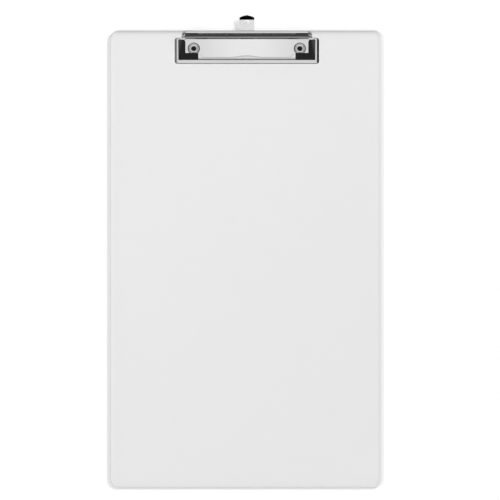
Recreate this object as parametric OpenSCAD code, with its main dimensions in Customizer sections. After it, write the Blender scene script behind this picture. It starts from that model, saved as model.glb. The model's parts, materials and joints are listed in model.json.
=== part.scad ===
// Clipboard with a low-profile spring clip and a sliding hanging tab.
//
// The board lies flat with its back on z = 0, its writing face up and its clip end
// towards +Y. The origin is the centre of the board's back face.
// Values named "from_top" are distances from the board's clip-end edge towards its foot.
// Values named "height" are distances above the board's writing face.

/* [Board] */
// Width of the board
board_w = 228.6; // [200:0.1:300]
// Length of the board
board_l = 381; // [200:0.5:500]
// Thickness of the board
board_t = 3; // [2.5:0.1:5]
// Radius of the board's corners
board_corner_r = 8; // [2:0.5:20]

/* [Clamp frame] */
// Width of the clamp frame over its side flanges
frame_w = 120.5; // [118:0.5:160]
// Rear edge of the frame's side bars, from the top
frame_rear_from_top = 6; // [6:0.1:6.5]
// Front face of the frame, which clamps the paper, from the top
frame_front_from_top = 28; // [28:0.1:32]
// Height of the frame's upper face
frame_height = 5; // [4.9:0.1:5.4]
// Width of the side bars as seen from above
side_bar_w = 3.3; // [3:0.1:4]
// Width of the front bar as seen from above
front_bar_w = 3.4; // [3:0.1:3.4]
// Thickness of the pressed sheet
sheet_t = 0.7; // [0.5:0.05:0.75]
// Outside radius of the roll along the side bars
side_roll_r = 2.2; // [1.2:0.1:2.2]
// Outside radius of the bend along the front bar
front_bend_r = 0.9; // [0.8:0.1:1.2]
// Gap between the frame's flanges and the board when the jaw is shut
flange_gap = 0.12; // [0.05:0.01:0.5]

/* [Lever] */
// Height of the lever's lip
lever_height = 8.24; // [8:0.02:9]
// Rear edge of the lever's lip, from the top
lever_rear_from_top = 0.1; // [0:0.1:0.3]
// Depth of the lever's flat lip
lip_depth = 1.8; // [1.5:0.1:2]
// Angle of the short steep part below the lip
steep_angle = 54; // [45:1:60]
// Depth of that steep part, as seen from above
steep_run = 0.9; // [0.5:0.1:1]
// Angle of the lever's main slope
slope_angle = 41; // [38:1:45]
// Half the lever's length over its cheeks, at the hinge pin
lever_half = 53.3; // [53.2:0.1:53.6]
// Angle at which the cheeks lean out towards their feet
cheek_lean = 11.5; // [8:0.5:12]
// Angle at which the cheeks spread apart towards the front
cheek_flare = 11.5; // [8:0.5:12]

/* [Base plate] */
// Width of the raised pan
pan_w = 105; // [104:0.5:105]
// Rear wall of the pan, from the top
pan_rear_from_top = 6.8; // [6.8:0.1:7.2]
// Front wall of the pan, which stops the paper, from the top
pan_front_from_top = 24; // [23:0.1:24.3]
// Height of the pan's upper face
pan_height = 2.2; // [2.1:0.05:2.3]
// Outside radius of the pan's bends
pan_bend_r = 0.8; // [0.8:0.1:1.2]
// Rear edge of the two tongues that lie on the board, from the top
tongue_rear_from_top = 0.9; // [0.8:0.1:1.2]
// Outer face of the ears that hold the hinge pin, from the centre
ear_outer = 51.7; // [51.2:0.1:51.8]

/* [Hinge] */
// Radius of the hinge pin
pin_r = 1; // [0.8:0.05:1.1]
// Axis of the hinge pin, from the top
pin_from_top = 2.8; // [2.7:0.05:2.8]
// Height of the hinge pin's axis
pin_height = 3; // [2.95:0.05:3]
// Angle at which the cheeks' heels meet the board and stop the jaw
open_angle = 32; // [20:1:34]

/* [Springs] */
// Diameter of the spring wire
wire_d = 0.9; // [0.6:0.05:0.9]
// Mean radius of the coils
coil_r = 1.75; // [1.6:0.05:1.75]
// Whole turns in each coil
coil_turns = 9; // [4:1:12]
// Inner end of each spring, from the centre
spring_from_centre = 34; // [10:1:36]

/* [Rubber pads] */
// Inner face of a pad's side leg, from the centre
pad_inner = 51.3; // [51:0.1:52]
// Inner end of a pad's front leg, from the centre
pad_toe = 40.5; // [40:0.5:48]
// Rear end of a pad's side leg, from the top
pad_rear_from_top = 7.6; // [7.5:0.1:8.5]
// Rear face of a pad's front leg, from the top
pad_front_leg_from_top = 18.8; // [18:0.1:20]

/* [Rivets] */
// Rivets' distance from the centre
rivet_x = 44.2; // [30:0.1:45]
// Rivets' distance from the top
rivet_from_top = 15.2; // [14:0.1:16.5]
// Bore of the rivets, which are hollow from the front
rivet_bore_r = 1.8; // [1.2:0.05:1.9]
// Depth of the bore's straight part
rivet_bore_depth = 2.4; // [1:0.1:2.6]
// Outside radius of the rivets' shanks
rivet_shank_r = 2.2; // [2.1:0.05:2.4]
// Radius of the rivets' rolled front flange
rivet_flange_r = 3.7; // [3:0.1:3.7]

/* [Hanging tab] */
// Width of the tab
tab_w = 12.3; // [8:0.1:20]
// Thickness of the tab
tab_t = 1; // [0.8:0.05:1.2]
// How far the tab stands out past the board when it's drawn out
tab_reach = 12.9; // [12.9:0.1:18]
// Radius of the hanging hole
hanging_hole_r = 2.5; // [1.5:0.1:3]
// Hanging hole's centre, measured outwards from the board's edge
hanging_hole_out = 6.5; // [6:0.1:7]
// Length of the tab's turned-up end, as seen from above
tab_lip_run = 3.6; // [2:0.1:3.8]
// How far that end is turned up
tab_lip_rise = 3; // [1:0.1:3]

/* [Hidden] */
$fn = 48;

// Clearances
hair = 0.02; // between pieces that rest on each other
pin_fit_gap = 0.03; // pin in the base plate's ears
running_gap = 0.06; // pin in the frame's cheeks
over = 1; // how far a cutting shape runs past what it cuts

// Levels
face_z = board_t;
frame_top_z = face_z + frame_height;
lever_top_z = face_z + lever_height;
pan_top_z = face_z + pan_height;
pan_under_z = pan_top_z - sheet_t;
tongue_top_z = face_z + sheet_t;
pin_z = face_z + pin_height;
pin_y = y_at(pin_from_top);

// Board
rivet_hole_r = rivet_shank_r + 0.05;
counterbore_r = 4.8;
counterbore_depth = 1.15;

// Frame and lever
frame_corner_r = 2.3;
frame_depth = frame_front_from_top - frame_rear_from_top;
window_half = frame_w / 2 - side_bar_w;
rear_bar_w = 1.5;
window_rear = frame_rear_from_top + rear_bar_w;
window_front = frame_front_from_top - front_bar_w;
slope_top = lever_rear_from_top + lip_depth;
knee = [slope_top + steep_run, lever_top_z - steep_run * tan(steep_angle)];
slope_foot = knee[0] + (knee[1] - frame_top_z) / tan(slope_angle);
foot_bend = 0.76; // tangent length of the concave bend at the slope's foot
rear_cut = 1.2; // depth of the cut that clears the rear flange from the cheeks
rear_cut_half = lever_half + 1.7;
cheek_lobe_r = 2.2;
cheek_front = frame_rear_from_top + 0.5;
cheek_front_drop = 1.6; // how far a cheek reaches below the frame's upper face
cheek_hollow = 0.6; // how far below the pin's axis a cheek's edge meets its lobe
heel_r = 3.15;
heel_gap = 0.05;
heel_dip = asin((pin_height - heel_gap) / heel_r) - open_angle;

// Base plate
pan_corner_r = 1;
tongue_front = pan_rear_from_top + sheet_t;
ear_lobe_r = 2.1;
passage_gap = 0.3; // between the tab and each side of its way in
passage_half = tab_w / 2 + passage_gap;
dimple_top_r = 5;
dimple_floor_r = 4;
dimple_wall = 0.7; // thickness of the dimple's sloping wall, level with the board

// Hinge pin
pin_head_r = 1.25;
pin_head_inner = lever_half + 0.4; // clear of the leaning cheeks
pin_head_t = 0.35;

// Springs
coil_pitch = wire_d + 0.06;
lever_leg_turn = 135; // from the foot leg's place at the bottom to the lever leg's
coil_arc = 360 * coil_turns + lever_leg_turn;
coil_length = coil_pitch * coil_arc / 360;
steps_per_turn = 22;
coil_steps = steps_per_turn * coil_turns;
wire_sides = 8;
foot_leg = 1.8;
lever_leg = 3.8;

// Pads
pad_gap = 0.05; // to the window's edge and to the board
pad_pan_gap = 0.3; // over the pan
pad_inset = 0.15; // of the pad's upper face below the frame's
pad_bar_gap = 0.55; // under the frame's bars
pad_side_gap = 0.6; // to the side flanges
pad_front_gap = 0.1; // to the front flange
pad_pan_side_gap = 0.5; // to the pan's ends
pad_pan_front_gap = 0.4; // to the pan's front wall
pad_step = 0.5; // of the foot's rear end in front of the lip's
pad_under_z = face_z + pad_gap;
pad_lip_under_z = pan_top_z + pad_pan_gap;
pad_top_z = frame_top_z - pad_inset;
pad_shoulder_z = frame_top_z - sheet_t - pad_bar_gap;
pad_outer = frame_w / 2 - sheet_t - pad_side_gap;
pad_front_from_top = frame_front_from_top - sheet_t - pad_front_gap;
pad_round = 2.2;

// Rivets
rivet_flange_t = 0.55;
rivet_head_r = 4;
rivet_head_z = 0.05;
rivet_point_angle = 59; // half the angle of the drill point at the bore's end
washer_t = 0.5;
washer_r = 4.6;

// Hanging tab
tab_gap = 0.1; // between the tab and the board
tab_z = face_z + tab_gap;
tab_head_side = 2.3; // how far the head stands out past each side of the tab
tab_head_gap = 0.05;
tab_head_half = tab_w / 2 + tab_head_side;
tab_head_from_top = tongue_front + tab_head_gap;
tab_head_depth = 3;
tab_end_r = 12;
tab_bend_shift = 0.4 * tab_t; // the bend starts that much later on the underside

// The y of a place given by its distance from the board's clip-end edge
function y_at(from_top) = board_l / 2 - from_top;

// A rectangle with round corners, centred
module rounded_rect(w, d, r) {
    square([w - 2 * r, d], center = true);
    square([w, d - 2 * r], center = true);
    for (x = [-1, 1], y = [-1, 1])
        translate([x * (w / 2 - r), y * (d / 2 - r)]) circle(r);
}

// A section drawn in [y, z], drawn out along X over -half to +half
module along_x(half) {
    translate([-half, 0, 0])
        rotate([90, 0, 90]) linear_extrude(2 * half) children();
}

// A section drawn in [x, z], drawn out along Y over y0 to y1
module along_y(y0, y1) {
    translate([0, y1, 0]) rotate([90, 0, 0]) linear_extrude(y1 - y0) children();
}

// A rectangle from y0 to y1 and z0 to z1 with its two upper corners rounded
module rolled_section(y0, y1, z0, z1, r) {
    translate([y0, z0]) square([y1 - y0, z1 - z0 - r]);
    translate([y0 + r, z0]) square([y1 - y0 - 2 * r, z1 - z0]);
    for (y = [y0 + r, y1 - r]) translate([y, z1 - r]) circle(r);
}

// A block with round corners in plan and rolled upper edges
module rolled_block(w, rear, front, z0, z1, corner_r, side_r, front_r) {
    intersection() {
        translate([0, y_at((rear + front) / 2), z0])
            linear_extrude(z1 - z0) rounded_rect(w, front - rear, corner_r);
        along_y(y_at(front) - over, y_at(rear) + over)
            rolled_section(-w / 2, w / 2, z0 - over, z1, side_r);
        along_x(w / 2 + over)
            rolled_section(y_at(front), y_at(rear), z0 - over, z1, front_r);
    }
}

// A cylinder along X on the hinge axis
module on_hinge_axis(r, x0, x1) {
    translate([x0, pin_y, pin_z]) rotate([0, 90, 0]) cylinder(r = r, h = x1 - x0);
}

// Its children once on each side of the clip
module both_sides() {
    children();
    mirror([1, 0, 0]) children();
}

module board() {
    color("whitesmoke", 0.6) difference() {
        linear_extrude(board_t) rounded_rect(board_w, board_l, board_corner_r);
        both_sides() translate([rivet_x, y_at(rivet_from_top), 0]) {
            translate([0, 0, -over])
                cylinder(r = rivet_hole_r, h = board_t + 2 * over);
            translate([0, 0, -over])
                cylinder(r = counterbore_r, h = counterbore_depth + over);
        }
    }
}

// The pan: a shallow tray turned upside down on the board
module pan() {
    difference() {
        rolled_block(pan_w, pan_rear_from_top, pan_front_from_top, face_z + hair,
            pan_top_z, pan_corner_r, pan_bend_r, pan_bend_r);
        rolled_block(pan_w - 2 * sheet_t, pan_rear_from_top + sheet_t,
            pan_front_from_top - sheet_t, face_z - over, pan_under_z,
            pan_corner_r - sheet_t, pan_bend_r - sheet_t, pan_bend_r - sheet_t);
    }
}

// One ear with the tongue that carries it
module tongue_and_ear() {
    translate([passage_half, y_at(tongue_front), face_z + hair])
        cube([ear_outer - passage_half, tongue_front - tongue_rear_from_top,
            sheet_t - hair]);
    translate([ear_outer - sheet_t, 0, 0]) rotate([90, 0, 90])
        linear_extrude(sheet_t) {
            translate([pin_y, pin_z]) circle(ear_lobe_r);
            translate([pin_y - ear_lobe_r, face_z + hair])
                square([2 * ear_lobe_r, pin_height - hair]);
            translate([y_at(tongue_front), face_z + hair])
                square([tongue_front - pin_from_top, pan_height - hair]);
        }
}

module base_plate() {
    color("silver") difference() {
        union() {
            pan();
            both_sides() tongue_and_ear();
            both_sides() translate([rivet_x, y_at(rivet_from_top), face_z + hair])
                cylinder(r1 = dimple_floor_r + dimple_wall,
                    r2 = dimple_top_r + dimple_wall, h = pan_under_z - face_z);
        }
        both_sides() translate([rivet_x, y_at(rivet_from_top), 0]) {
            translate([0, 0, tongue_top_z])
                cylinder(r1 = dimple_floor_r, r2 = dimple_top_r,
                    h = pan_top_z - tongue_top_z);
            cylinder(r = rivet_hole_r, h = pan_top_z);
        }
        translate([-passage_half, y_at(tongue_front) - over / 2, face_z - over])
            cube([2 * passage_half, tongue_front, pan_under_z - face_z + over]);
        on_hinge_axis(pin_r + pin_fit_gap, -frame_w / 2, frame_w / 2);
    }
}

// The frame's flat bars with their turned-down flanges
module frame_bars() {
    foot_z = face_z + flange_gap;
    difference() {
        rolled_block(frame_w, frame_rear_from_top, frame_front_from_top, foot_z,
            frame_top_z, frame_corner_r, side_roll_r, front_bend_r);
        rolled_block(frame_w - 2 * sheet_t, frame_rear_from_top + sheet_t,
            frame_front_from_top - sheet_t, foot_z - over, frame_top_z - sheet_t,
            frame_corner_r - sheet_t, side_roll_r - sheet_t, front_bend_r - sheet_t);
        translate([-window_half, y_at(window_front), 0])
            cube([2 * window_half, window_front - window_rear, frame_top_z + over]);
        translate([-pad_inner, y_at(window_rear) - over / 2, 0])
            cube([2 * pad_inner, frame_depth, frame_top_z + over]);
        translate([-rear_cut_half, y_at(frame_rear_from_top + rear_cut), 0])
            cube([2 * rear_cut_half, frame_depth, frame_top_z - sheet_t]);
    }
}

// The lever's upper face in [from_top, z], from its lip to the window's rear edge,
// lowered square to itself by t
function lever_line(t) =
    let (
        lip_end = [slope_top, lever_top_z] + t * [-tan(steep_angle / 2), -1],
        steep_in = -[sin(steep_angle), cos(steep_angle)],
        slope_in = -[sin(slope_angle), cos(slope_angle)],
        knee_in = (steep_in + slope_in) / (1 + steep_in * slope_in),
        bend_r = foot_bend / tan(slope_angle / 2),
        centre = [slope_foot + foot_bend, frame_top_z + bend_r]
    )
    concat(
        [[lever_rear_from_top, lever_top_z - t], lip_end, knee + t * knee_in],
        [for (i = [0 : 5])
            let (a = 270 - slope_angle * (1 - i / 5))
            centre + (bend_r + t) * [cos(a), sin(a)]]
    );

// The solid below that line, down to z0, between the lever's rear edge and front
module below_lever(t, rear, front, z0) {
    line = lever_line(t);
    upper = concat([[rear, line[0][1]]], [for (i = [1 : len(line) - 1]) line[i]],
        [[front, frame_top_z - t]]);
    polygon([for (p = concat(upper, [[front, z0], [rear, z0]])) [y_at(p[0]), p[1]]]);
}

// The outline of a cheek: a wall from the lever down to a lobe round the pin, with a
// heel that meets the board when the jaw is fully open
module cheek_outline() {
    heel = [pin_from_top - heel_r * cos(heel_dip), pin_z - heel_r * sin(heel_dip)];
    translate([pin_y, pin_z]) circle(cheek_lobe_r);
    intersection() {
        below_lever(0, lever_rear_from_top, cheek_front, face_z);
        polygon([for (p = [
            [lever_rear_from_top, lever_top_z],
            [slope_top, lever_top_z + over],
            [cheek_front, lever_top_z],
            [cheek_front, frame_top_z - cheek_front_drop],
            [pin_from_top + cheek_lobe_r, pin_z - cheek_hollow],
            [pin_from_top, pin_z - cheek_lobe_r],
            heel,
        ]) [y_at(p[0]), p[1]]]);
    }
}

// The space on the inner side of one cheek's outer face, or of a face that much further in
module inside_cheek(inset) {
    size = 3 * frame_w;
    translate([lever_half, pin_y, pin_z]) rotate([0, -cheek_lean, cheek_flare])
        translate([-size - inset, -size / 2, -size / 2]) cube(size);
}

module between_cheeks(inset) {
    intersection() {
        inside_cheek(inset);
        mirror([1, 0, 0]) inside_cheek(inset);
    }
}

module lever() {
    // the sheet of the lever, from cheek to cheek
    intersection() {
        along_x(frame_w / 2) difference() {
            below_lever(0, lever_rear_from_top, frame_rear_from_top,
                frame_top_z - 2 * over);
            below_lever(sheet_t, lever_rear_from_top - over,
                frame_rear_from_top + over, frame_top_z - 3 * over);
        }
        between_cheeks(0);
    }
    // the cheeks
    difference() {
        intersection() {
            along_x(frame_w / 2) cheek_outline();
            between_cheeks(0);
        }
        between_cheeks(sheet_t);
    }
}

module clamp_frame() {
    color("silver") difference() {
        union() {
            frame_bars();
            lever();
        }
        on_hinge_axis(pin_r + running_gap, -frame_w / 2, frame_w / 2);
    }
}

module hinge_pin() {
    color("gray") {
        on_hinge_axis(pin_r, -pin_head_inner - hair, pin_head_inner + hair);
        both_sides()
            on_hinge_axis(pin_head_r, pin_head_inner, pin_head_inner + pin_head_t);
    }
}

// The wire's centre line: the foot leg, the coil and the lever leg. Angles run from
// +Y towards +Z, so the coil starts at the bottom and ends facing the lever.
function coil_point(turned, x) =
    [x, pin_y + coil_r * cos(270 - turned), pin_z + coil_r * sin(270 - turned)];

function spring_path() = concat(
    [coil_point(0, 0) + [0, foot_leg, 0]],
    [for (i = [0 : coil_steps])
        coil_point(coil_arc * i / coil_steps, coil_length * i / coil_steps)],
    [coil_point(coil_arc, coil_length) + lever_leg * [0, sin(45), sin(45)]]
);

// A wire along a path that never runs along X: each ring is square to the path
module wire(path) {
    last = len(path) - 1;
    ring = [for (i = [0 : last])
        let (
            ahead = path[min(i + 1, last)] - path[max(i - 1, 0)],
            t = ahead / norm(ahead),
            side = cross(t, [1, 0, 0]),
            u = side / norm(side),
            v = cross(t, u)
        )
        for (k = [0 : wire_sides - 1])
            let (a = 360 * k / wire_sides)
            path[i] + wire_d / 2 * (cos(a) * u + sin(a) * v)
    ];
    n = wire_sides;
    walls = [for (i = [0 : last - 1], k = [0 : n - 1])
        let (a = i * n + k, b = i * n + (k + 1) % n)
        each [[a, b, b + n], [a, b + n, a + n]]];
    polyhedron(ring, concat(
        [[for (k = [n - 1 : -1 : 0]) k]],
        walls,
        [[for (k = [0 : n - 1]) last * n + k]]
    ), convexity = 10);
}

module torsion_spring() {
    color("dimgray") translate([spring_from_centre, 0, 0]) wire(spring_path());
}

// An L in plan: a side leg, round at its inner rear corner, and a front leg. The heel,
// where they meet, is round to sit in the frame's corner.
module pad_plan(inner, toe, rear, leg, front, outer, round_r, heel_r) {
    heel_y = y_at(front) + heel_r;
    translate([inner, heel_y])
        square([outer - inner, front - rear - round_r - heel_r]);
    translate([inner + round_r, heel_y])
        square([outer - inner - round_r, front - rear - heel_r]);
    translate([inner + round_r, y_at(rear + round_r)]) circle(round_r);
    translate([toe, y_at(front)]) square([outer - toe - heel_r, front - leg]);
    translate([toe, heel_y]) square([outer - toe, front - leg - heel_r]);
    translate([outer - heel_r, heel_y]) circle(heel_r);
}

module rubber_pad() {
    color("#262626") {
        // the lip that shows inside the frame's window
        translate([0, 0, pad_lip_under_z])
            linear_extrude(pad_top_z - pad_lip_under_z)
                pad_plan(pad_inner, pad_toe, pad_rear_from_top,
                    pad_front_leg_from_top, window_front - pad_gap,
                    window_half - pad_gap, pad_round, pad_gap);
        // the foot under the frame's bars
        translate([0, 0, pad_under_z])
            linear_extrude(pad_shoulder_z - pad_under_z)
                pad_plan(pan_w / 2 + pad_pan_side_gap, pad_toe,
                    pad_rear_from_top + pad_step, pan_front_from_top + pad_pan_front_gap,
                    pad_front_from_top, pad_outer, pad_round,
                    frame_corner_r - sheet_t);
    }
}

// A semi-tubular rivet, put in from the back: its head lies in the board's counterbore
// and its hollow end is rolled over in the base plate's dimple
module rivet() {
    top_z = tongue_top_z + hair + rivet_flange_t;
    bore_z = top_z - rivet_bore_depth;
    point_h = rivet_bore_r / tan(rivet_point_angle);
    color("silver") translate([rivet_x, y_at(rivet_from_top), 0]) difference() {
        union() {
            translate([0, 0, rivet_head_z])
                cylinder(r = rivet_shank_r, h = top_z - rivet_head_z);
            translate([0, 0, top_z - rivet_flange_t])
                cylinder(r = rivet_flange_r, h = rivet_flange_t);
            translate([0, 0, rivet_head_z])
                cylinder(r = rivet_head_r, h = rivet_flange_t - hair);
        }
        translate([0, 0, bore_z])
            cylinder(r = rivet_bore_r, h = rivet_bore_depth + over);
        translate([0, 0, bore_z - point_h])
            cylinder(r1 = 0, r2 = rivet_bore_r, h = point_h);
    }
}

module rivet_washer() {
    color("darkgray")
        translate([rivet_x, y_at(rivet_from_top), rivet_head_z + rivet_flange_t])
            difference() {
                cylinder(r = washer_r, h = washer_t - hair);
                translate([0, 0, -over])
                    cylinder(r = rivet_hole_r, h = washer_t + 2 * over);
            }
}

// The tab's section in [y, z]: flat, then turned up at its outer end
module tab_section() {
    end_y = y_at(-tab_reach);
    bend_y = end_y - tab_lip_run;
    head_y = y_at(tab_head_from_top + tab_head_depth);
    polygon([
        [head_y, tab_z], [bend_y + tab_bend_shift, tab_z],
        [end_y, tab_z + tab_lip_rise], [end_y, tab_z + tab_lip_rise + tab_t],
        [bend_y, tab_z + tab_t], [head_y, tab_z + tab_t],
    ]);
}

module hanging_tab() {
    head_front = tab_head_from_top + tab_head_depth;
    color("silver") difference() {
        intersection() {
            along_x(tab_head_half) tab_section();
            union() {
                // the strip, with its outer end rounded in plan
                intersection() {
                    translate([-tab_w / 2, y_at(head_front), 0])
                        cube([tab_w, head_front + tab_reach, frame_top_z]);
                    translate([0, y_at(-tab_reach + tab_end_r), 0])
                        cylinder(r = tab_end_r, h = frame_top_z, $fn = 96);
                }
                translate([-tab_w / 2, y_at(head_front), 0])
                    cube([tab_w, head_front + tab_reach - tab_end_r, frame_top_z]);
                // the head that stops the tab inside the pan
                translate([-tab_head_half, y_at(head_front), 0])
                    cube([2 * tab_head_half, tab_head_depth, frame_top_z]);
            }
        }
        translate([0, y_at(-hanging_hole_out), 0])
            cylinder(r = hanging_hole_r, h = frame_top_z);
    }
}

board();
base_plate();
clamp_frame();
hinge_pin();
mirror([1, 0, 0]) torsion_spring();  // left_torsion_spring
torsion_spring();  // right_torsion_spring
mirror([1, 0, 0]) rubber_pad();  // left_rubber_pad
rubber_pad();  // right_rubber_pad
mirror([1, 0, 0]) rivet();  // left_rivet
rivet();  // right_rivet
mirror([1, 0, 0]) rivet_washer();  // left_rivet_washer
rivet_washer();  // right_rivet_washer
hanging_tab();
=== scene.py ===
import json
from math import asin, atan, copysign, cos, degrees, hypot, pi, radians, sin, sqrt, tan

import bmesh
import bpy
from mathutils import Matrix, Vector


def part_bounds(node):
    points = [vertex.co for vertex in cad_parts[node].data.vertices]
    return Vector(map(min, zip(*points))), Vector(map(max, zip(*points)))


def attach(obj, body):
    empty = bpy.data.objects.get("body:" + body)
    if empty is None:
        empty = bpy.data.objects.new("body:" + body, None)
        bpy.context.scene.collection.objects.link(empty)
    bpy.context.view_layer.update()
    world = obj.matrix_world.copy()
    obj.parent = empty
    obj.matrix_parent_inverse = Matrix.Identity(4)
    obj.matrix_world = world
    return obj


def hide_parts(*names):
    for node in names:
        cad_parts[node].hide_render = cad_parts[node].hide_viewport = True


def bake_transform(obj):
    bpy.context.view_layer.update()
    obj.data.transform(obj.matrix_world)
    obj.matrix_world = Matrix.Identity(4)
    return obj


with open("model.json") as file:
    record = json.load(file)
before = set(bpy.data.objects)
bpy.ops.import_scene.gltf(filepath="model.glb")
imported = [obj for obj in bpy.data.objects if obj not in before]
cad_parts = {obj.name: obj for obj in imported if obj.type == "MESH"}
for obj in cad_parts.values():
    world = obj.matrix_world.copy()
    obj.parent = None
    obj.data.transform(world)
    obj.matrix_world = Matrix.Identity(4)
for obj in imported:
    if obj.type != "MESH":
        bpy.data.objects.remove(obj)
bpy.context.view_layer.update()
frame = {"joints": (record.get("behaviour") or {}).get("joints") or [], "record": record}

# Lengths are in millimetres until at() turns a place into Blender's metres. A place is
# (x, s, z): x from the centre line, s from the board's clip-end edge towards its foot,
# z up from the board's back.
MM = 0.001


def part_box(node):
    """A node's lowest and highest corners"""
    return [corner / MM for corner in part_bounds(node)]


BOARD_HIGH = part_box("board")[1]
FRAME_LOW, FRAME_HIGH = part_box("clamp_frame")
PLATE_LOW, PLATE_HIGH = part_box("base_plate")
TAB_LOW, TAB_HIGH = part_box("hanging_tab")
PAD_LOW, PAD_HIGH = part_box("right_rubber_pad")
RIVET_LOW, RIVET_HIGH = part_box("right_rivet")
WASHER_LOW, WASHER_HIGH = part_box("right_rivet_washer")
SPRING_LOW, SPRING_HIGH = part_box("right_torsion_spring")
PIN_HIGH = part_box("hinge_pin")[1]
TOP_EDGE = BOARD_HIGH.y
FACE = BOARD_HIGH.z

HINGE = next(j for j in frame["joints"] if j["name"] == "clamp_hinge")
PIN_S = TOP_EDGE - HINGE["pos_m"][1] / MM
PIN_Z = HINGE["pos_m"][2] / MM

SHEET = 0.7  # thickness of the pressed sheet
SHARP_ANGLE = radians(32)
AXIS_R = 0.0001  # a ring this small is welded to a point
PLASTIC_IOR = 1.49
FACE_TINT = 0.873  # how much light one pass through a face keeps
SHADOWLESS = ("clamp_frame", "base_plate", "left_rubber_pad", "right_rubber_pad")


def at(x, s, z):
    return Vector((x, TOP_EDGE - s, z)) * MM


def smooth_step(t):
    t = min(max(t, 0.0), 1.0)
    return t * t * (3 - 2 * t)


def mix(a, b, t):
    return a + (b - a) * t


# ---- node helpers


def add_node(tree, kind, settings=None, inputs=None):
    node = tree.nodes.new(kind)
    for key, value in (settings or {}).items():
        setattr(node, key, value)
    for key, value in (inputs or {}).items():
        plug(tree, node.inputs[key], value)
    return node


def plug(tree, socket, value):
    if isinstance(value, bpy.types.NodeSocket):
        tree.links.new(value, socket)
    else:
        socket.default_value = value


def calc(tree, operation, *values):
    node = add_node(tree, "ShaderNodeMath", {"operation": operation})
    for socket, value in zip(node.inputs, values):
        plug(tree, socket, value)
    return node.outputs[0]


def map_range(tree, value, low, high, to_low=0.0, to_high=1.0):
    inputs = {"Value": value, "From Min": low, "From Max": high,
              "To Min": to_low, "To Max": to_high}
    node = add_node(tree, "ShaderNodeMapRange", {"interpolation_type": "SMOOTHSTEP"}, inputs)
    return node.outputs[0]


def mix_value(tree, factor, a, b):
    node = add_node(tree, "ShaderNodeMix", {"data_type": "FLOAT"})
    for index, value in ((0, factor), (2, a), (3, b)):
        plug(tree, node.inputs[index], value)
    return node.outputs[0]


def mix_color(tree, factor, a, b):
    node = add_node(tree, "ShaderNodeMix", {"data_type": "RGBA"})
    for index, value in ((0, factor), (6, a), (7, b)):
        plug(tree, node.inputs[index], value)
    return node.outputs[2]


def mix_shader(tree, factor, a, b):
    return add_node(tree, "ShaderNodeMixShader", None, {0: factor, 1: a, 2: b}).outputs[0]


def transparent(tree, color=(1.0, 1.0, 1.0, 1.0)):
    return add_node(tree, "ShaderNodeBsdfTransparent", None, {"Color": color}).outputs[0]


def axes(tree, vector):
    """The X, Y and Z of a vector"""
    return add_node(tree, "ShaderNodeSeparateXYZ", None, {"Vector": vector}).outputs


def surface_data(tree, what):
    return add_node(tree, "ShaderNodeNewGeometry").outputs[what]


def light_path(tree):
    return add_node(tree, "ShaderNodeLightPath").outputs


def grey(value):
    return (value, value, value, 1.0)


def scaled_place(tree, scale):
    """Object coordinates times a scale per axis, for noise finer one way than another"""
    place = add_node(tree, "ShaderNodeTexCoord").outputs["Object"]
    node = add_node(tree, "ShaderNodeMapping", None, {"Vector": place, "Scale": scale})
    return node.outputs[0]


def noise_value(tree, size, detail, scale=(1, 1, 1)):
    """Noise whose grain is about 1/size metres, stretched by the scale per axis"""
    inputs = {"Vector": scaled_place(tree, scale), "Scale": size, "Detail": detail}
    return add_node(tree, "ShaderNodeTexNoise", None, inputs).outputs["Fac"]


def bump(tree, height, strength, distance, normal=None):
    inputs = {"Height": height, "Strength": strength, "Distance": distance}
    if normal is not None:
        inputs["Normal"] = normal
    return add_node(tree, "ShaderNodeBump", None, inputs).outputs[0]


def new_material(name):
    material = bpy.data.materials.new(name)
    material.use_nodes = True
    material.node_tree.nodes.clear()
    return material, material.node_tree


def show(material, shader):
    """Ends a material with the shader that is seen"""
    tree = material.node_tree
    plug(tree, tree.nodes.new("ShaderNodeOutputMaterial").inputs["Surface"], shader)
    return material


def principled(tree, color, roughness, normal=None, metallic=1.0, others=None):
    inputs = {"Base Color": color, "Roughness": roughness, "Metallic": metallic, **(others or {})}
    if normal is not None:
        inputs["Normal"] = normal
    return add_node(tree, "ShaderNodeBsdfPrincipled", None, inputs).outputs[0]


# ---- materials


def corner_shade(tree):
    """1 at the foot of the pan's rear wall, under the lever, and of its front wall, under
    the frame's bar, where little light comes"""
    place = axes(tree, surface_data(tree, "Position"))
    rear, front = (TOP_EDGE - PAN_REAR) * MM, (TOP_EDGE - PAN_FRONT) * MM
    behind = map_range(tree, place["Y"], rear - 0.05 * MM, rear)
    near = map_range(tree, place["Y"], rear + 0.9 * MM, rear + 2.2 * MM, 1.0, 0.0)
    ahead = map_range(tree, place["Y"], front + 0.12 * MM, front + 0.22 * MM, 1.0, 0.0)
    low = map_range(tree, place["Z"], (PAN_TOP - 0.5) * MM, (PAN_TOP - 0.25) * MM, 1.0, 0.0)
    return calc(tree, "MULTIPLY", calc(tree, "MULTIPLY_ADD", behind, near, ahead), low)


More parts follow.
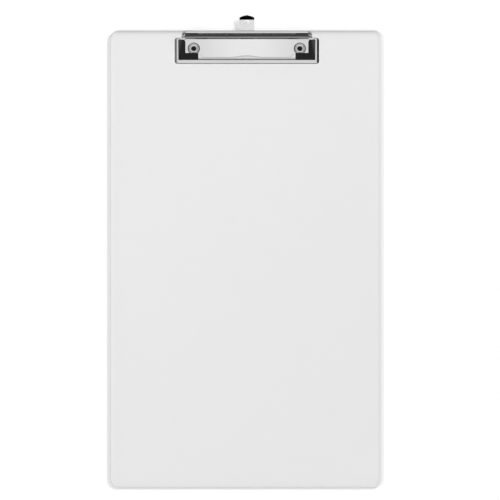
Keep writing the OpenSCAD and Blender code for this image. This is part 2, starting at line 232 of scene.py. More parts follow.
def chrome(name, tint, roughness, wave, tab=False):
    """Mirror-bright plating: faint haze that varies, hairline polish marks, slow waves,
    and painted shade in crevices and at the foot of the pan's walls. The tab also has a
    painted reflection, near black where it faces the clip's dark inside, and the part of it
    that lies over the board casts no shadow, as the clip casts none."""
    material, tree = new_material(name)
    haze = noise_value(tree, 60.0, 4.0)
    marks = noise_value(tree, 900.0, 2.0, (1, 14, 14))
    waves = noise_value(tree, 55.0, 1.0)
    worn = map_range(tree, surface_data(tree, "Pointiness"), 0.52, 0.6, 0.0, 0.05)
    rough = calc(tree, "ADD", map_range(tree, haze, 0.3, 0.7, roughness * 0.7, roughness * 1.4), worn)
    normal = bump(tree, waves, wave, 0.0005)
    normal = bump(tree, marks, 0.02, 0.00002, normal)
    # painted shade: the colour goes near black in crevices that ambient occlusion finds, and at the foot of
    # the pan's walls under the lever and the frame's bar
    open_part = add_node(tree, "ShaderNodeAmbientOcclusion", {"samples": 8}, {"Distance": 0.0035})
    crevice_shade = map_range(tree, open_part.outputs["AO"], 0.4, 0.75, 0.9, 0.0)
    crevice_shade = calc(tree, "MAXIMUM", crevice_shade, calc(tree, "MULTIPLY", corner_shade(tree), 0.97))
    color = mix_color(tree, haze, grey(tint * 0.98), grey(tint))
    if tab:
        # painted reflection: where the tab faces the clip it is painted near black, standing in for the
        # clip's dark inside mirrored in it
        y = axes(tree, surface_data(tree, "Normal"))["Y"]
        color = mix_color(tree, map_range(tree, y, -0.5, -0.1, 1.0, 0.0), color, grey(0.012))
    shader = principled(tree, mix_color(tree, crevice_shade, color, grey(0.06)), rough, normal)
    if tab:
        y = axes(tree, surface_data(tree, "Position"))["Y"]
        over_board = calc(tree, "LESS_THAN", y, TOP_EDGE * MM)
        unseen = calc(tree, "MULTIPLY", over_board, light_path(tree)["Is Shadow Ray"])
        shader = mix_shader(tree, unseen, shader, transparent(tree))
    return show(material, shader)


def drawn_steel(name, tint, roughness, grain):
    """Steel with fine lines along the way it was drawn or turned"""
    material, tree = new_material(name)
    lines = noise_value(tree, 500.0, 3.0, grain)
    stain = noise_value(tree, 300.0, 3.0)
    color = mix_color(tree, stain, grey(tint * 0.8), (tint, tint * 0.99, tint * 0.97, 1.0))
    rough = map_range(tree, lines, 0.3, 0.7, roughness * 0.7, roughness * 1.3)
    return show(material, principled(tree, color, rough, bump(tree, lines, 0.25, 0.00003)))


def zinc(name):
    """Zinc plating: soft spangle and a faint warm and cool drift"""
    material, tree = new_material(name)
    inputs = {"Vector": scaled_place(tree, (1, 1, 1)), "Scale": 1400.0}
    spangle = add_node(tree, "ShaderNodeTexVoronoi", None, inputs).outputs["Color"]
    drift = noise_value(tree, 250.0, 2.0)
    color = mix_color(tree, drift, (0.55, 0.56, 0.58, 1.0), (0.62, 0.6, 0.55, 1.0))
    return show(material, principled(tree, color, map_range(tree, spangle, 0.0, 1.0, 0.25, 0.42)))


def rubber(name):
    """Matte black rubber with a fine moulded grain, paler along its rubbed edges"""
    material, tree = new_material(name)
    grain = noise_value(tree, 2600.0, 4.0)
    dust = noise_value(tree, 240.0, 4.0)
    rubbed = map_range(tree, surface_data(tree, "Pointiness"), 0.52, 0.62)
    color = mix_color(tree, dust, grey(0.006), grey(0.016))
    color = mix_color(tree, rubbed, color, grey(0.045))
    rough = map_range(tree, grain, 0.3, 0.7, 0.5, 0.75)
    return show(material, principled(tree, color, rough, bump(tree, grain, 0.3, 0.00004),
                                     0.0, {"Specular IOR Level": 0.22}))


def unplated_shaded_bore(name):
    """The inside of a drilled rivet: dull unplated steel, painted near black as shade"""
    material, tree = new_material(name)
    rings = noise_value(tree, 900.0, 2.0, (1, 1, 9))
    color = mix_color(tree, rings, grey(0.02), grey(0.07))
    return show(material, principled(tree, color, 0.55, bump(tree, rings, 0.5, 0.00005), 0.6))


def clear_plastic(name):
    """Clear, faintly grey sheet. Lamps and soft light pass it, less through its walls."""
    material, tree = new_material(name)
    # a face met from inside the sheet has its normal turned round, so it is turned back
    turn = calc(tree, "MULTIPLY_ADD", surface_data(tree, "Backfacing"), -2.0, 1.0)
    outward = add_node(tree, "ShaderNodeVectorMath", {"operation": "SCALE"},
                       {"Vector": surface_data(tree, "Normal"), "Scale": turn})
    east, north, up = axes(tree, outward.outputs[0])
    west, south = calc(tree, "MULTIPLY", east, -1.0), calc(tree, "MULTIPLY", north, -1.0)
    flat = calc(tree, "ABSOLUTE", up)
    # painted light: the face is a touch darker towards its lower right corner and lighter towards its upper
    # left
    place = axes(tree, surface_data(tree, "Position"))
    painted_light_slant = calc(tree, "SUBTRACT", calc(tree, "MULTIPLY", place["X"], 0.9), place["Y"])
    tint = map_range(tree, painted_light_slant, -0.26, 0.26, FACE_TINT + 0.022, FACE_TINT - 0.022)
    # painted light and shade: the rounded border is tinted clearer to the left, right and below and
    # darker above, and the edge outside it is painted dark to the left and below as a contact shadow
    for side, tilt, change in ((west, (0.0, 0.12), 0.10), (west, (0.25, 0.6), -0.45),
                               (north, (0.0, 0.17), -0.12),
                               (east, (0.0, 0.03), -0.06), (east, (0.06, 0.14), 0.16),
                               (south, (0.06, 0.16), 0.10), (south, (0.2, 0.4), -0.45)):
        tint = calc(tree, "ADD", tint, map_range(tree, side, tilt[0], tilt[1], 0.0, change))
    haze = noise_value(tree, 40.0, 5.0)
    scuffs = noise_value(tree, 60.0, 3.0, (3, 40, 40))
    glass = principled(tree, tint, map_range(tree, haze, 0.3, 0.7, 0.0, 0.035),
                       bump(tree, scuffs, 0.03, 0.00001), 0.0,
                       {"IOR": PLASTIC_IOR, "Transmission Weight": 1.0})
    # painted highlight: the right-hand border mixes in a see-through shader with no reflection or refraction,
    # so it reads brighter there
    right_painted_light = map_range(tree, east, 0.07, 0.16, 0.0, 0.95)
    seen = mix_shader(tree, right_painted_light, glass, transparent(tree))
    # a wall lets little light through, apart from the wall that the key lamp faces
    lit = map_range(tree, calc(tree, "MAXIMUM", east, 0.0), 0.1, 0.5)
    wall_let = mix_value(tree, lit, 0.3, 0.95)
    let = mix_value(tree, map_range(tree, flat, 0.2, 0.95), wall_let, 0.93)
    rays = light_path(tree)
    soft = calc(tree, "MAXIMUM", rays["Is Shadow Ray"], rays["Is Diffuse Ray"])
    both = mix_shader(tree, soft, seen, transparent(tree, let))
    color = mix_color(tree, haze, (0.62, 0.65, 0.65, 1.0), (0.72, 0.75, 0.75, 1.0))
    cut = principled(tree, color, 0.18, bump(tree, scuffs, 0.2, 0.00002), 0.0)
    frosted = calc(tree, "MULTIPLY", map_range(tree, flat, 0.15, 0.5, 0.6, 0.0),
                   calc(tree, "SUBTRACT", 1.0, soft))
    return show(material, mix_shader(tree, frosted, both, cut))


# ---- mesh tools


def add_rows(bm, rows, close_rows=False, close_ring=False):
    """Quads between rows of places; each row is a line or, with close_ring, a ring"""
    verts = [[bm.verts.new(p) for p in row] for row in rows]
    skin_rows(bm, verts, close_rows, close_ring)
    return verts


def skin_rows(bm, verts, close_rows=False, close_ring=False):
    count, length = len(verts), len(verts[0])
    for i in range(count if close_rows else count - 1):
        after = verts[(i + 1) % count]
        for j in range(length if close_ring else length - 1):
            k = (j + 1) % length
            # a vertex that comes twice in a row makes a triangle, or no face
            corners = list(dict.fromkeys((verts[i][j], verts[i][k], after[k], after[j])))
            if len(corners) > 2:
                bm.faces.new(corners)


def fill_between(bm, loops, normal):
    """A flat face bounded by closed loops of vertices, of which all but the first are holes"""
    edges = []
    for loop in loops:
        for a, b in zip(loop, loop[1:] + loop[:1]):
            edges.append(bm.edges.get((a, b)) or bm.edges.new((a, b)))
    bmesh.ops.triangle_fill(bm, use_beauty=True, use_dissolve=False, edges=edges, normal=normal)


def new_object(name, data):
    made = bpy.data.objects.new(name, data)
    bpy.context.scene.collection.objects.link(made)
    return made


def mesh_object(name, bm):
    bmesh.ops.recalc_face_normals(bm, faces=bm.faces)
    mesh = bpy.data.meshes.new(name)
    bm.to_mesh(mesh)
    bm.free()
    return new_object(name, mesh)


def tube(name, rings, weld=False):
    """A solid skinned over rings of places, with a flat face at each end"""
    bm = bmesh.new()
    verts = add_rows(bm, rings, close_ring=True)
    bm.faces.new(verts[0])
    bm.faces.new(verts[-1])
    if weld:
        bmesh.ops.remove_doubles(bm, verts=bm.verts, dist=AXIS_R * MM)
    return mesh_object(name, bm)


def bake(made):
    """Applies an object's modifiers to its mesh"""
    graph = bpy.context.evaluated_depsgraph_get()
    mesh = bpy.data.meshes.new_from_object(made.evaluated_get(graph))
    made.modifiers.clear()
    made.data = mesh
    return made


def thicken(made, thickness):
    """Turns an open sheet's upper face up and gives it its thickness below that face"""
    if sum(face.normal.z * face.area for face in made.data.polygons) < 0:
        made.data.flip_normals()
    solid = made.modifiers.new("sheet", "SOLIDIFY")
    solid.thickness = thickness * MM
    solid.offset = -1.0
    solid.use_quality_normals = True
    return bake(made)


def soften(made, width, segments, angle):
    """Rounds the edges that are sharper than an angle"""
    edge = made.modifiers.new("edges", "BEVEL")
    edge.width = width * MM
    edge.segments = segments
    edge.limit_method = "ANGLE"
    edge.angle_limit = radians(angle)
    return bake(made)


def combine(made, others, operation="UNION"):
    """Joins others to an object, or cuts them from it, and removes them"""
    for other in others:
        step = made.modifiers.new("join", "BOOLEAN")
        step.operation = operation
        step.solver = "EXACT"
        step.object = other
        bpy.context.view_layer.update()
        bake(made)
        bpy.data.objects.remove(other)
    return made


def finish_piece(made, body, material, replaced):
    """Gives a piece its look, its body and the CAD solid that it replaces"""
    made.data.materials.clear()
    for one in material if isinstance(material, list) else [material]:
        made.data.materials.append(one)
    made.data.shade_smooth()
    made.data.set_sharp_from_angle(angle=SHARP_ANGLE)
    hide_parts(replaced)
    made.visible_shadow = made.visible_diffuse = replaced not in SHADOWLESS
    if body:
        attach(made, body)
        even = made.modifiers.new("even_shading", "WEIGHTED_NORMAL")
        even.keep_sharp = True


def finish_pair(right, body, material, node):
    """Finishes a right-hand piece and its mirror image"""
    left = mirrored(right)
    for side, made in (("right_", right), ("left_", left)):
        finish_piece(made, body, material, side + node)
    return right, left


def lathe(name, profile, axis_point, along, turns):
    """A solid of revolution. Profile points are (radius, height); along is 'x' or 'z'."""
    x, s, z = axis_point
    rings = []
    for radius, height in profile:
        ring = circle(0, 0, radius, turns)
        if along == "x":
            rings.append([at(x + height, s + u, z + v) for u, v in ring])
        else:
            rings.append([at(x + u, s + v, z + height) for u, v in ring])
    return tube(name, rings, weld=True)


def prism(name, outline, low, high, along="z"):
    """An outline drawn out from low to high, along z (points are x, s) or x (points are s, z)"""
    if along == "z":
        return tube(name, [[at(x, s, h) for x, s in outline] for h in (low, high)])
    return tube(name, [[at(h, s, z) for s, z in outline] for h in (low, high)])


def arc(cx, cy, radius, start, end, steps):
    """Points round a centre, angles in degrees"""
    angles = [radians(mix(start, end, i / steps)) for i in range(steps + 1)]
    return [(cx + radius * cos(a), cy + radius * sin(a)) for a in angles]


def circle(cx, cy, radius, steps):
    """Evenly spaced points all round a centre"""
    return arc(cx, cy, radius, 0, 360 - 360 / steps, steps - 1)


def mirrored(made):
    """A copy of a right-hand object on the left of the centre line"""
    copy = new_object(made.name.replace("right", "left"), made.data.copy())
    copy.data.transform(Matrix.Scale(-1, 4, (1, 0, 0)))
    copy.data.flip_normals()
    return copy


# ---- board

BORDER = 5.2  # width of the face's softly rounded border
BORDER_DROP = 0.5
BORDER_EDGE_R = 0.8
BACK_EDGE_R = 0.5
BACK_INSET = 1.5  # where the flat back begins
BOARD_CORNER_R = 8
RIVET_X = (RIVET_LOW.x + RIVET_HIGH.x) / 2
RIVET_S = TOP_EDGE - (RIVET_LOW.y + RIVET_HIGH.y) / 2
RIVET_HOLE_R = 2.25
COUNTERBORE_R = 4.8
COUNTERBORE_DEPTH = 1.15


def board_outline(inset):
    """Places (x, y) round the board, drawn in by an inset"""
    cx, cy = BOARD_HIGH.x - BOARD_CORNER_R, BOARD_HIGH.y - BOARD_CORNER_R
    points = []
    for turn, side_x, side_y in ((0, 1, 1), (90, -1, 1), (180, -1, -1), (270, 1, -1)):
        points += arc(side_x * cx, side_y * cy, BOARD_CORNER_R - inset, turn, turn + 90, 14)
    return points


def border_height(inset):
    return FACE - BORDER_DROP * max(0, (BORDER - inset) / BORDER) ** 2


def board_section():
    """The border's section as (inset, z), from the back face round to the writing face"""
    low = border_height(BORDER_EDGE_R) - BORDER_EDGE_R
    section = [(BACK_INSET, 0)] + arc(BACK_EDGE_R, BACK_EDGE_R, BACK_EDGE_R, 270, 180, 5)
    section += arc(BORDER_EDGE_R, low, BORDER_EDGE_R, 180, 96, 7)
    insets = [mix(BORDER_EDGE_R, BORDER, i / 9) for i in range(1, 10)]
    return section + [(inset, border_height(inset)) for inset in insets]


def make_board(material):
    bm = bmesh.new()
    rows = [[Vector((x, y, z)) * MM for x, y in board_outline(inset)] for inset, z in board_section()]
    rings = add_rows(bm, rows, close_ring=True)
    top_loops, back_loops = [rings[-1]], [rings[0]]
    section = [(COUNTERBORE_R, 0), (COUNTERBORE_R, COUNTERBORE_DEPTH),
               (RIVET_HOLE_R, COUNTERBORE_DEPTH), (RIVET_HOLE_R, FACE)]
    for side in (-1, 1):
        hole = [[at(x, s, z) for x, s in circle(side * RIVET_X, RIVET_S, radius, 64)]
                for radius, z in section]
        walls = add_rows(bm, hole, close_ring=True)
        back_loops.append(walls[0])
        top_loops.append(walls[-1])
    fill_between(bm, top_loops, (0, 0, 1))
    fill_between(bm, back_loops, (0, 0, -1))
    board = mesh_object("clear_board", bm)
    finish_piece(board, "base", material, "board")


# ---- clamp frame

FRAME_HALF = FRAME_HIGH.x
FRAME_TOP = FACE + 5.0
FRAME_REAR = 6.0
FRAME_FRONT = TOP_EDGE - FRAME_LOW.y
FRAME_FOOT = FRAME_LOW.z
FRAME_CORNER_R = 2.3
SIDE_ROLL_R = 2.2
SIDE_ROLL_DROP = 1.15  # the side roll is flatter than it is wide
FRONT_BEND_R = 0.9
SIDE_BAR_W = 3.3
FRONT_BAR_W = 3.35
REAR_BAR_W = 1.5
WINDOW_CORNER_R = 0.5
EDGE_R = 0.12  # the sheet's softened edges
REAR_FLANGE_END = 55.0
WEB_INNER = 51.3

LEVER_TOP = FRAME_HIGH.z
LEVER_REAR = TOP_EDGE - FRAME_HIGH.y
LIP_END = 2.3
STEEP_RUN = 0.9
STEEP_ANGLE = radians(54)
SLOPE_ANGLE = radians(41)
FOOT_BEND = 0.48
REAR_ROLL_R = 0.85
CHEEK_TOP_HALF = 51.9  # half the lever's length over its end bends
CHEEK_REAR_HALF = 53.1  # over the cheeks' feet, at the lip
CHEEK_FRONT_HALF = 54.6  # and where the slope ends
END_BEND_R = 0.8
CHEEK_LOBE_R = 2.2
HEEL = (0.3, FACE + 1.08)  # the cheeks' lower rear corner, as (s, z)
CHEEK_END = (7.0, PIN_Z + 0.75)
PIN_R = 1.0


def frame_station(outer, inward, roll, window):
    """One closed section of the frame's bars, from the flange's foot over to the window
    and back underneath. outer and window are plan places (x, s); inward is a direction."""
    def spot(depth, z):
        return at(outer[0] + inward[0] * depth, outer[1] + inward[1] * depth, z)

    def near_window(back, z):
        start = (outer[0] + inward[0] * roll, outer[1] + inward[1] * roll)
        run = (window[0] - start[0], window[1] - start[1])
        t = 1 - back / hypot(*run)
        return at(start[0] + run[0] * t, start[1] + run[1] * t, z)

    e = EDGE_R
    flatness = (roll - FRONT_BEND_R) / (SIDE_ROLL_R - FRONT_BEND_R)
    drop = mix(FRONT_BEND_R, SIDE_ROLL_DROP, flatness)
    points = [spot(e, FRAME_FOOT), spot(0, FRAME_FOOT + e)]
    points += [spot(roll + roll * u, FRAME_TOP - drop + drop * v) for u, v in arc(0, 0, 1, 180, 90, 16)]
    points += [near_window(back, FRAME_TOP - fall)
               for back, fall in ((e * 3, 0), (e, 0), (e * 0.3, e * 0.3), (0, e), (0, SHEET - e), (e, SHEET))]
    inner, inner_drop = roll - SHEET, drop - SHEET
    points += [spot(roll + inner * u, FRAME_TOP - drop + inner_drop * v)
               for u, v in arc(0, 0, 1, 90, 180, 6)]
    return points + [spot(SHEET, FRAME_FOOT + e), spot(SHEET - e, FRAME_FOOT)]


def frame_stations():
    """The frame's sections from the rear left round the front to the rear right"""
    r, w = FRAME_CORNER_R, WINDOW_CORNER_R
    cx = FRAME_HALF - r
    wx = FRAME_HALF - SIDE_BAR_W - w
    rear_s, front_s = FRAME_REAR + r, FRAME_FRONT - r
    rear_w, front_w = FRAME_REAR + REAR_BAR_W + w, FRAME_FRONT - FRONT_BAR_W - w
    rear_x = (cx + REAR_FLANGE_END) / 2
    steps = 14
    stations = []

    def straight(x, edge, inward, width):
        stations.append(((x, edge), (0, inward), FRONT_BEND_R, (x, edge + inward * width)))

    def corner(sign_x, centre_s, window_s, start, end, roll_start, roll_end):
        for i in range(steps + 1):
            a = radians(mix(start, end, i / steps))
            out = (cos(a), sin(a))
            roll = mix(roll_start, roll_end, smooth_step(i / steps))
            outer = (sign_x * cx + r * out[0], centre_s + r * out[1])
            window = (sign_x * wx + w * out[0], window_s + w * out[1])
            stations.append((outer, (-out[0], -out[1]), roll, window))

    straight(-REAR_FLANGE_END, FRAME_REAR, 1, REAR_BAR_W)
    straight(-rear_x, FRAME_REAR, 1, REAR_BAR_W)
    corner(-1, rear_s, rear_w, 270, 180, FRONT_BEND_R, SIDE_ROLL_R)
    corner(-1, front_s, front_w, 180, 90, SIDE_ROLL_R, FRONT_BEND_R)
    for i in range(1, 12):
        straight(mix(-cx, cx, i / 12), FRAME_FRONT, -1, FRONT_BAR_W)
    corner(1, front_s, front_w, 90, 0, FRONT_BEND_R, SIDE_ROLL_R)
    corner(1, rear_s, rear_w, 0, -90, SIDE_ROLL_R, FRONT_BEND_R)
    straight(rear_x, FRAME_REAR, 1, REAR_BAR_W)
    straight(REAR_FLANGE_END, FRAME_REAR, 1, REAR_BAR_W)
    return [frame_station(*station) for station in stations]


def lever_line():
    """The lever's upper face as (s, z), from the rear edge of its lip to the frame's level"""
    knee = (LIP_END + STEEP_RUN, LEVER_TOP - STEEP_RUN * tan(STEEP_ANGLE))
    foot_s = knee[0] + (knee[1] - FRAME_TOP) / tan(SLOPE_ANGLE)
    bend_r = FOOT_BEND / tan(SLOPE_ANGLE / 2)
    line = arc(LEVER_REAR + REAR_ROLL_R, LEVER_TOP - REAR_ROLL_R, REAR_ROLL_R, 180, 90, 9)
    line += corner_bend((LEVER_REAR, LEVER_TOP), (LIP_END, LEVER_TOP), knee, 0.2, 5)
    line += corner_bend((LIP_END, LEVER_TOP), knee, (foot_s, FRAME_TOP), 0.25, 3)
    line.append(((knee[0] + foot_s) / 2, (knee[1] + FRAME_TOP) / 2))
    line += arc(foot_s + FOOT_BEND, FRAME_TOP + bend_r, bend_r, 270 - degrees(SLOPE_ANGLE), 270, 6)
    return line + [(FRAME_REAR + 0.02, FRAME_TOP)]


def corner_bend(before, corner, after, cut, steps):
    """A corner of a line rounded off over a cut along each side, as a quadratic curve"""
    a, c, b = Vector(before), Vector(corner), Vector(after)
    start = c + (a - c).normalized() * cut
    end = c + (b - c).normalized() * cut
    return [tuple(start * (1 - t) ** 2 + c * 2 * t * (1 - t) + end * t ** 2)
            for t in (i / steps for i in range(steps + 1))]


def cheek_foot(s):
    """Height of a cheek's lower edge: down from the heel, a lobe round the pin, then up"""
    z = HEEL[1]
    points = [HEEL, (PIN_S, PIN_Z - CHEEK_LOBE_R), (PIN_S + CHEEK_LOBE_R, PIN_Z - 0.6), CHEEK_END]
    for (s0, z0), (s1, z1) in zip(points, points[1:]):
        if s0 <= s <= s1:
            z = mix(z0, z1, (s - s0) / (s1 - s0))
    if abs(s - PIN_S) < CHEEK_LOBE_R:
        z = min(z, PIN_Z - sqrt(CHEEK_LOBE_R ** 2 - (s - PIN_S) ** 2))
    return z


def lever_row(s, z):
    """One section of the lever across the object, from cheek foot to cheek foot"""
    # the cheek's foot keeps a little clear of the lip's rear edge
    foot_s = max(s, LEVER_REAR + 0.2 * (1 - s / 3))
    foot_z = cheek_foot(max(foot_s, HEEL[0]))
    foot_half = mix(CHEEK_REAR_HALF, CHEEK_FRONT_HALF, smooth_step(s / FRAME_REAR))
    turn = pi / 2 - atan((foot_half - CHEEK_TOP_HALF) / max(z - foot_z, 1.5))
    flat_x, bend_z = CHEEK_TOP_HALF - END_BEND_R, z - END_BEND_R

    def bend(a):
        return (flat_x + END_BEND_R * sin(a), s, bend_z + END_BEND_R * cos(a))

    foot, wall_top = Vector((foot_half, foot_s, foot_z)), Vector(bend(turn))
    half = [foot.lerp(wall_top, i / 8) for i in range(9)]
    half += [bend(turn * (1 - i / 8)) for i in range(1, 9)]
    half += [(flat_x * (1 - i / 10), s, z) for i in range(1, 10)]
    left = [at(-p[0], p[1], p[2]) for p in half]
    return left + [at(0, s, z)] + [at(*p) for p in reversed(half)]


def make_clamp_frame(material):
    bars = tube("pressed_clamp_frame", frame_stations())
    bm = bmesh.new()
    add_rows(bm, [lever_row(s, z) for s, z in lever_line()])
    lever = soften(thicken(mesh_object("lever", bm), SHEET), 0.08, 1, 60)
    # webs join the lever's ends to the bars
    front = FRAME_REAR + REAR_BAR_W - 0.1
    inner, outer = WEB_INNER, REAR_FLANGE_END + 0.6
    web = [(inner, FRAME_REAR + 0.005), (outer, FRAME_REAR + 0.3), (outer, front), (inner, front)]
    webs = [prism("web", [(side * x, s) for x, s in web], FRAME_TOP - SHEET + 0.03, FRAME_TOP - 0.002)
            for side in (-1, 1)]
    made = combine(bars, [lever] + webs)
    made = combine(made, [pin_bore(0.06)], "DIFFERENCE")
    finish_piece(made, "jaw", material, "clamp_frame")


def pin_bore(clearance):
    """A rod on the pin's axis, longer than the clip, that cuts the pin's holes"""
    ends = [(PIN_R + clearance, side * 2 * FRAME_HALF) for side in (-1, 1)]
    return lathe("bore", ends, (0, PIN_S, PIN_Z), "x", 48)


# ---- base plate

PAN_HALF = PLATE_HIGH.x
PLATE_SHEET = 0.5
PAN_REAR = 6.8
PAN_FRONT = TOP_EDGE - PLATE_LOW.y + 0.25  # a little in front of the CAD wall
PAN_TOP = FACE + 2.2
PAN_BEND_R = 0.6
WALL_DRAFT = 0.35  # how far the pan's front wall leans out down to its foot
PLATE_FOOT = PLATE_LOW.z
CROWN = 0.1  # how far the pan's front and rear edges lie below its middle
LONG_CROWN = 0.4  # and how far its two ends do
DIMPLE_FLOOR = FACE + SHEET
DIMPLE_FLOOR_R = 4.0
DIMPLE_TOP_R = 5.1
DIMPLE_BLOCK = 7.35  # half the square that is laid out round a dimple
FRONT_LINE = 22.05  # where the pan's pressed front line runs
FRONT_LINE_BULGE = 0.85
FRONT_LINE_HALF = 14.5
FRONT_STEP = 0.1  # drop at the line, in the middle
STEP_RUN = 0.3
STEP_REGAINED = 0.6  # share of the drop that is regained over the next stretch
MARGIN_FALL = 0.085  # how steeply the pan falls in front of that line


def bulge(x):
    t = min(abs(x) / FRONT_LINE_HALF, 1)
    return (1 - t * t) ** 2


def front_line(x):
    return FRONT_LINE - FRONT_LINE_BULGE * bulge(x)


def pan_height(x, s):
    """Height of the pan's upper face"""
    middle = (PAN_REAR + PAN_FRONT) / 2
    z = PAN_TOP - CROWN * ((s - middle) / (middle - PAN_REAR)) ** 2 - LONG_CROWN * (x / PAN_HALF) ** 2
    past = s - front_line(x)
    if past > 0:
        z -= MARGIN_FALL * past
        step = smooth_step(past / STEP_RUN) * (1 - STEP_REGAINED * smooth_step(past - STEP_RUN))
        z -= FRONT_STEP * bulge(x) * step
    reach = hypot(abs(x) - RIVET_X, s - RIVET_S)
    if reach < DIMPLE_TOP_R:
        floor = smooth_step((DIMPLE_TOP_R - reach) / (DIMPLE_TOP_R - DIMPLE_FLOOR_R))
        z = mix(z, DIMPLE_FLOOR, floor)
    return z


def pan_place(x, s):
    return at(x, s, pan_height(x, s))


def make_pan():
    """The pan as a grid, with rings laid into it round the rivets and a rolled rim"""
    bm = bmesh.new()
    inner_x, rear, front = PAN_HALF - PAN_BEND_R, PAN_REAR + PAN_BEND_R, PAN_FRONT - PAN_BEND_R
    side_steps, middle_steps = 16, 84
    block_in, block_out = RIVET_X - DIMPLE_BLOCK, RIVET_X + DIMPLE_BLOCK
    first, last = RIVET_S - DIMPLE_BLOCK, RIVET_S + DIMPLE_BLOCK
    xs = [mix(block_in, block_out, i / side_steps) for i in range(side_steps + 1)]
    middle = [mix(-block_in, block_in, i / middle_steps) for i in range(1, middle_steps)]
    columns = [-inner_x] + [-x for x in reversed(xs)] + middle + xs + [inner_x]

    def row_s(x, t):
        return mix(first, front_line(x) if abs(x) < block_in else last, t)

    grid = [[pan_place(x, rear) for x in columns]]
    grid += [[pan_place(x, row_s(x, i / side_steps)) for x in columns] for i in range(side_steps + 1)]
    for share in (0.12, 0.25, 0.4, 0.6, 0.8, 1.0):
        grid.append([pan_place(x, mix(row_s(x, 1), front, share)) for x in columns])
    verts = [[bm.verts.new(p) for p in row] for row in grid]
    left_block = range(1, 1 + side_steps)
    right_block = range(1 + side_steps + middle_steps, 1 + 2 * side_steps + middle_steps)
    block_rows = range(1, 1 + side_steps)
    for i in range(len(verts) - 1):
        for j in range(len(columns) - 1):
            if i not in block_rows or (j not in left_block and j not in right_block):
                bm.faces.new((verts[i][j], verts[i][j + 1], verts[i + 1][j + 1], verts[i + 1][j]))
    for blocks in (left_block, right_block):
        lay_dimple(bm, verts, blocks, block_rows)
    roll_rim(bm, verts)
    loose = [v for v in bm.verts if not v.link_faces]
    bmesh.ops.delete(bm, geom=loose, context="VERTS")
    return thicken(mesh_object("pressed_base_plate", bm), PLATE_SHEET)


def lay_dimple(bm, verts, block_columns, block_rows):
    """Rings from a rivet's hole out to the square of grid vertices round its dimple"""
    c0, c1 = block_columns[0], block_columns[-1] + 1
    r0, r1 = block_rows[0], block_rows[-1] + 1
    square = [verts[r0][j] for j in range(c0, c1)] + [verts[i][c1] for i in range(r0, r1)]
    square += [verts[r1][j] for j in range(c1, c0, -1)] + [verts[i][c0] for i in range(r1, r0, -1)]
    centre_x = (verts[r0][c0].co.x + verts[r0][c1].co.x) / 2 / MM
    rings = []
    for radius in [RIVET_HOLE_R, 3.0, 3.7] + [mix(3.9, 5.2, i / 16) for i in range(17)] + [5.5]:
        ring = []
        for corner in square:
            dx = corner.co.x / MM - centre_x
            ds = TOP_EDGE - corner.co.y / MM - RIVET_S
            share = radius / hypot(dx, ds)
            ring.append(bm.verts.new(pan_place(centre_x + dx * share, RIVET_S + ds * share)))
        rings.append(ring)
    skin_rows(bm, rings + [square], close_ring=True)


def roll_rim(bm, verts):
    """Rolls the pan's edge down to its walls, with a ball corner at each corner"""
    sides = [(verts[0], (0, -1)), ([row[-1] for row in verts], (1, 0)),
             (verts[-1][::-1], (0, 1)), ([row[0] for row in verts[::-1]], (-1, 0))]
    rim = []
    for (side, out), (_, turned) in zip(sides, sides[1:] + sides[:1]):
        rim += [(vert, out) for vert in side]
        rim += [(side[-1], (out[0] * u + turned[0] * v, out[1] * u + turned[1] * v))
                for u, v in arc(0, 0, 1, 0, 90, 8)[1:-1]]
    rings = [[vert for vert, _ in rim]]
    for u, v in arc(0, 0, PAN_BEND_R * MM, 90, 0, 9)[1:]:
        fall = v - PAN_BEND_R * MM
        rings.append([bm.verts.new(vert.co + Vector((out[0] * u, -out[1] * u, fall))) for vert, out in rim])
    rings.append([bm.verts.new((v.co.x, v.co.y - WALL_DRAFT * MM * max(out[1], 0), PLATE_FOOT * MM))
                  for v, (_, out) in zip(rings[-1], rim)])
    skin_rows(bm, rings, close_ring=True)


TAB_HALF = 6.15
PASSAGE_HALF = TAB_HALF + 0.12
TONGUE_REAR = 0.9
TONGUE_CORNER_R = 1.5
TONGUE_TOP = FACE + SHEET
FILLET_R = 0.85
EAR_OUTER = 51.7
EAR_LOBE_R = 2.1


def make_tongue(side):
    """A tongue that lies on the board, with a round at each rear corner"""
    r, rear, front = TONGUE_CORNER_R, TONGUE_REAR, PAN_REAR + PLATE_SHEET * 0.8
    x0, x1 = PASSAGE_HALF, EAR_OUTER - 0.01
    outline = arc(x1 - r, rear + r, r, 0, -90, 8) + arc(x0 + r, rear + r, r, 270, 180, 8)
    outline += [(x0, front), (x1, front)]
    tongue = prism("tongue", [(side * x, s) for x, s in outline], PLATE_FOOT + 0.001, TONGUE_TOP)
    return soften(tongue, 0.1, 2, 60)


def make_fillet(side):
    """The hollow bend where a tongue rises into the pan's rear wall"""
    r, foot = FILLET_R, TONGUE_TOP - 0.1
    wall = PAN_REAR + 0.02
    outline = [(wall - r, foot)] + arc(wall - r, TONGUE_TOP + r, r, -90, 0, 10)
    outline += [(wall + 0.2, TONGUE_TOP + r), (wall + 0.2, foot)]
    return prism("fillet", outline, side * (PASSAGE_HALF + 0.02), side * (EAR_OUTER - SHEET - 0.2), "x")


def make_ear(side):
    """A wall that rises from the tongue's end and holds the pin"""
    foot, front, shoulder = PLATE_FOOT + 0.002, PAN_REAR + SHEET * 0.7, PAN_TOP - 0.4
    lobe_end = PIN_S + EAR_LOBE_R
    outline = [(PIN_S - EAR_LOBE_R, foot)] + arc(PIN_S, PIN_Z, EAR_LOBE_R, 180, 0, 24)
    outline += [(lobe_end, FACE + 3.0), (lobe_end + 0.8, shoulder), (front, shoulder), (front, foot)]
    return soften(prism("ear", outline, side * (EAR_OUTER - SHEET), side * EAR_OUTER, "x"), 0.1, 2, 60)


